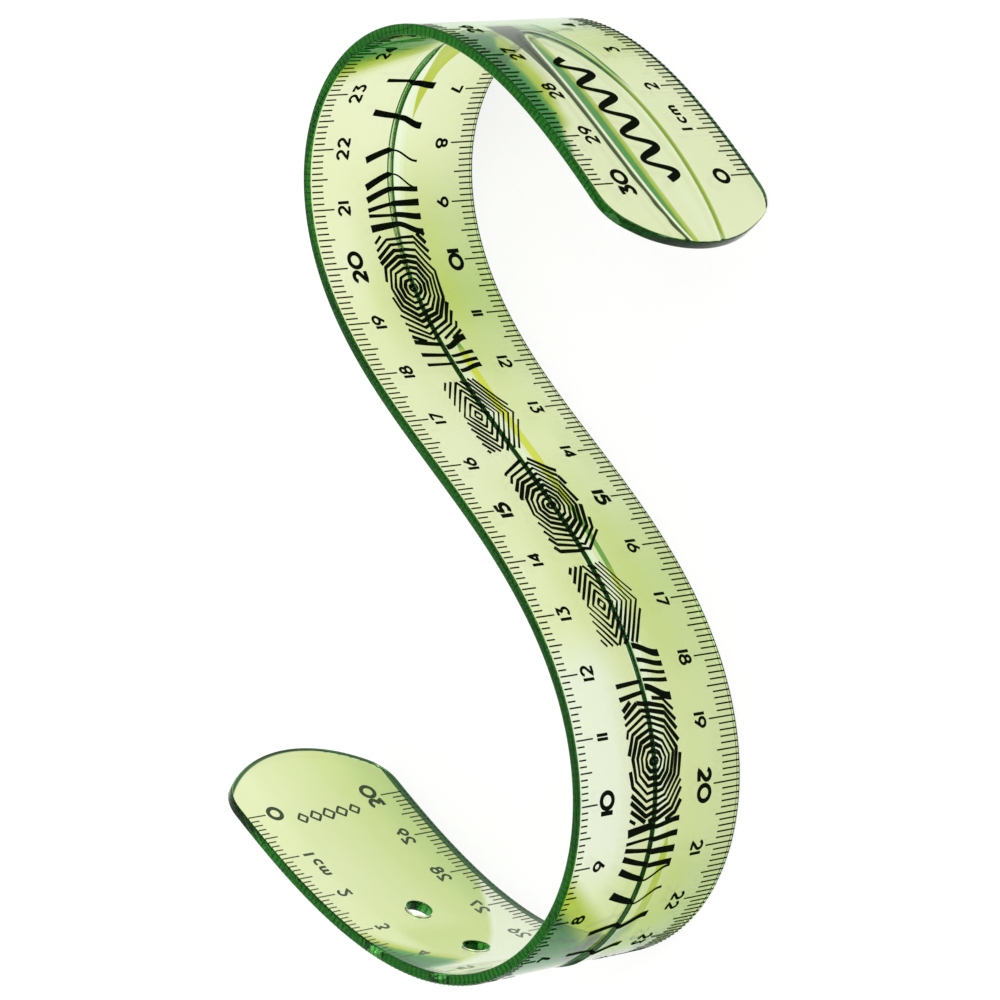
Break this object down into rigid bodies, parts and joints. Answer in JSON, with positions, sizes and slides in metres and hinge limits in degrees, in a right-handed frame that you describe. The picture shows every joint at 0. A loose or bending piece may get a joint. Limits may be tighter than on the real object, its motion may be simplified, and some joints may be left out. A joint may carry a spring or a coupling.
{
  "type": "flexible ruler",
  "caption": "Flexible see-through green plastic ruler with centimetre and millimetre scales on both long edges, bent into an S and standing on one edge.",
  "frame": {"origin": "on the surface the ruler stands on, under the middle of its box", "axes": "+Z across the blade, from the edge it stands on to the other edge; X along the S, with the end of the scale that reads 0 on the lower edge at +X; Y across the S"},
  "size_m": [0.1514, 0.1134, 0.036],
  "materials": {
    "clear_plastic": "clear green, glossy",
    "ink": "black printed ink"
  },
  "bodies": {
    "root": {"blade": "clear_plastic", "ink_upper_ticks": "ink", "ink_upper_ticks_back": "ink", "ink_upper_numerals": "ink", "ink_upper_numerals_back": "ink", "ink_lower_numerals": "ink", "ink_lower_numerals_back": "ink", "ink_lower_ticks": "ink", "ink_lower_ticks_back": "ink", "ink_bars_a": "ink", "ink_rings_a": "ink", "ink_diamonds_a": "ink", "ink_rings_b": "ink", "ink_diamonds_b": "ink", "ink_rings_c": "ink", "ink_bars_b": "ink", "ink_wave_mark": "ink", "ink_tip_mark": "ink"}
  },
  "joints": []
}
